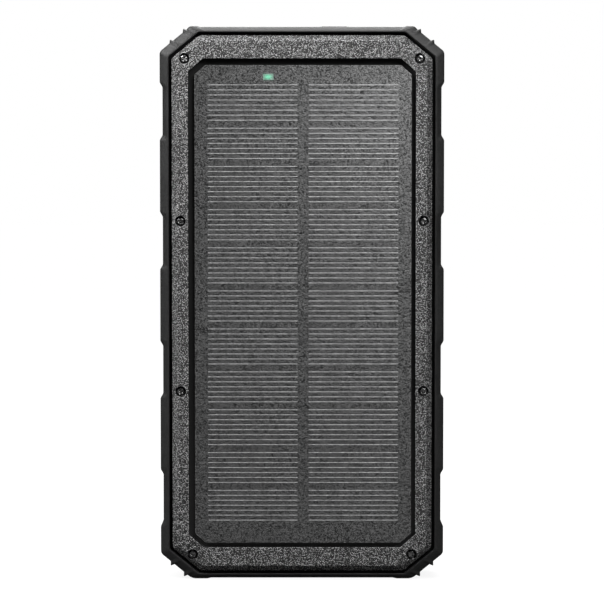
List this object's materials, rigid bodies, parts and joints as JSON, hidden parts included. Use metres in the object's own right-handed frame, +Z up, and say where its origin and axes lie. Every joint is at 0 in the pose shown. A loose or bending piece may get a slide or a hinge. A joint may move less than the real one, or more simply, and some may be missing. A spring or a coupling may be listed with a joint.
{
  "type": "solar phone charger",
  "caption": "Rugged flat solar power bank: panel in a textured screwed frame, rubber sleeve with grip notches, hinged port cover and side button.",
  "frame": {"origin": "bottom centre of the whole charger's box, standing upright", "axes": "+Z up along the long side to the port edge, -Y out of the solar panel, +X to the right of the panel"},
  "size_m": [0.082, 0.024, 0.16],
  "materials": {
    "frame_plastic": "coarse sand-textured moulding",
    "housing_plastic": "fine-textured moulding",
    "sleeve_rubber": "satin",
    "cover_rubber": "satin",
    "seal_rubber": "matt",
    "black_screw": "black oxide",
    "plain_screw": "bright",
    "panel_laminate": "black board",
    "cell_silicon": "dark silicon",
    "silver_print": "printed silver",
    "matt_film": "matt clear film",
    "green_light": "lit green",
    "bonding_sheet": "black adhesive",
    "circuit_board": "solder mask",
    "socket_steel": "bright plated",
    "socket_white": "white insulator",
    "socket_black": "black insulator",
    "chip_black": "moulded epoxy",
    "ferrite": "grey ferrite",
    "capacitor_tan": "tan ceramic",
    "light_white": "white package",
    "clear_window": "frosted clear",
    "switch_black": "moulded",
    "switch_white": "moulded",
    "button_rubber": "satin",
    "pouch_foil": "laminated pouch foil",
    "foam_grey": "soft foam",
    "tape_white": "double-sided tape",
    "wire_red": "silicone insulation",
    "wire_black": "silicone insulation"
  },
  "bodies": {
    "case": {"front_frame": "frame_plastic", "rear_housing": "housing_plastic", "frame_gasket": "seal_rubber", "bumper": "sleeve_rubber", "case_screws": "black_screw", "panel_board": "panel_laminate", "panel_adhesive": "bonding_sheet", "solar_cells": "cell_silicon", "cell_fingers": "silver_print", "panel_film": "matt_film", "charge_led": "green_light", "main_board": "circuit_board", "board_screws": "plain_screw", "usb_a_shells": "socket_steel", "usb_a_tongues": "socket_white", "usb_c_shell": "socket_steel", "usb_c_tongue": "socket_black", "control_chips": "chip_black", "power_inductors": "ferrite", "capacitors": "capacitor_tan", "level_leds": "light_white", "level_lens": "clear_window", "switch_body": "switch_black", "battery_cell_front": "pouch_foil", "battery_cell_rear": "pouch_foil", "protection_boards": "circuit_board", "front_foam": "foam_grey", "cell_tape": "tape_white", "rear_tape": "tape_white", "battery_leads_red": "wire_red", "battery_leads_black": "wire_black", "panel_leads_red": "wire_red", "panel_leads_black": "wire_black"},
    "cover": {"port_cover": "cover_rubber"},
    "button": {"power_button": "button_rubber"},
    "plunger": {"switch_plunger": "switch_white"}
  },
  "joints": [
    {"name": "cover_swing", "type": "hinge", "parent": "case", "child": "cover", "pos_m": [0.0075, 0.0073, 0.15975], "axis": [-1, 0, 0], "range_deg": [0, 165]},
    {"name": "button_press", "type": "slide", "parent": "case", "child": "button", "axis": [-1, 0, 0], "range_m": [0, 0.0004]},
    {"name": "plunger_press", "type": "slide", "parent": "case", "child": "plunger", "axis": [-1, 0, 0], "range_m": [0, 0.0004]}
  ],
  "couplings": [
    {"joint": "plunger_press", "follows": "button_press", "ratio": 1}
  ]
}
